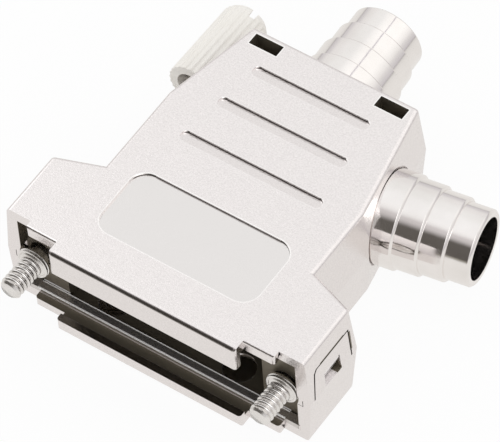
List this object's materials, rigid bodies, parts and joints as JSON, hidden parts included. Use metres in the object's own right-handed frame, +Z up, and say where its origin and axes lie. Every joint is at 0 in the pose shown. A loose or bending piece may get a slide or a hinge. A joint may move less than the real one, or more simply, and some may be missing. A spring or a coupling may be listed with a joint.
{
  "type": "d-sub hood",
  "caption": "Die-cast metal hood for a D-sub connector: two snapped halves, stepped crimp cable entries and captive jackscrews.",
  "frame": {"origin": "midway between the two jackscrews, in the plane of the flange's front corners, on the parting plane of the two halves", "axes": "+X along the flange towards the side cable entry, +Y to the rear of the hood, +Z up through the half with the label recess"},
  "size_m": [0.0466, 0.054, 0.0148],
  "materials": {
    "shell": "satin",
    "ferrule": "polished",
    "screw": "satin",
    "knob": "matte"
  },
  "bodies": {
    "hood": {"top_shell": "shell", "bottom_shell": "shell", "rear_ferrule": "ferrule", "side_ferrule": "ferrule"},
    "left_washer_body": {"left_washer": "screw"},
    "left_screw": {"left_jackscrew": "screw", "thumb_knob": "knob"},
    "right_washer_body": {"right_washer": "screw"},
    "right_screw": {"right_jackscrew": "screw"}
  },
  "joints": [
    {"name": "left_float", "type": "slide", "parent": "hood", "child": "left_washer_body", "axis": [0.0047, 0.9995, -0.0297], "range_m": [-0.0001, 0.0011]},
    {"name": "left_turn", "type": "hinge", "parent": "left_washer_body", "child": "left_screw", "pos_m": [-0.01683, -0.0022, 0], "axis": [0.0047, 0.9995, -0.0297], "continuous": true},
    {"name": "right_float", "type": "slide", "parent": "hood", "child": "right_washer_body", "axis": [0, 1, 0], "range_m": [-0.00085, 0.0004]},
    {"name": "right_turn", "type": "hinge", "parent": "right_washer_body", "child": "right_screw", "pos_m": [0.01665, 0, 0], "axis": [0, 1, 0], "continuous": true}
  ]
}
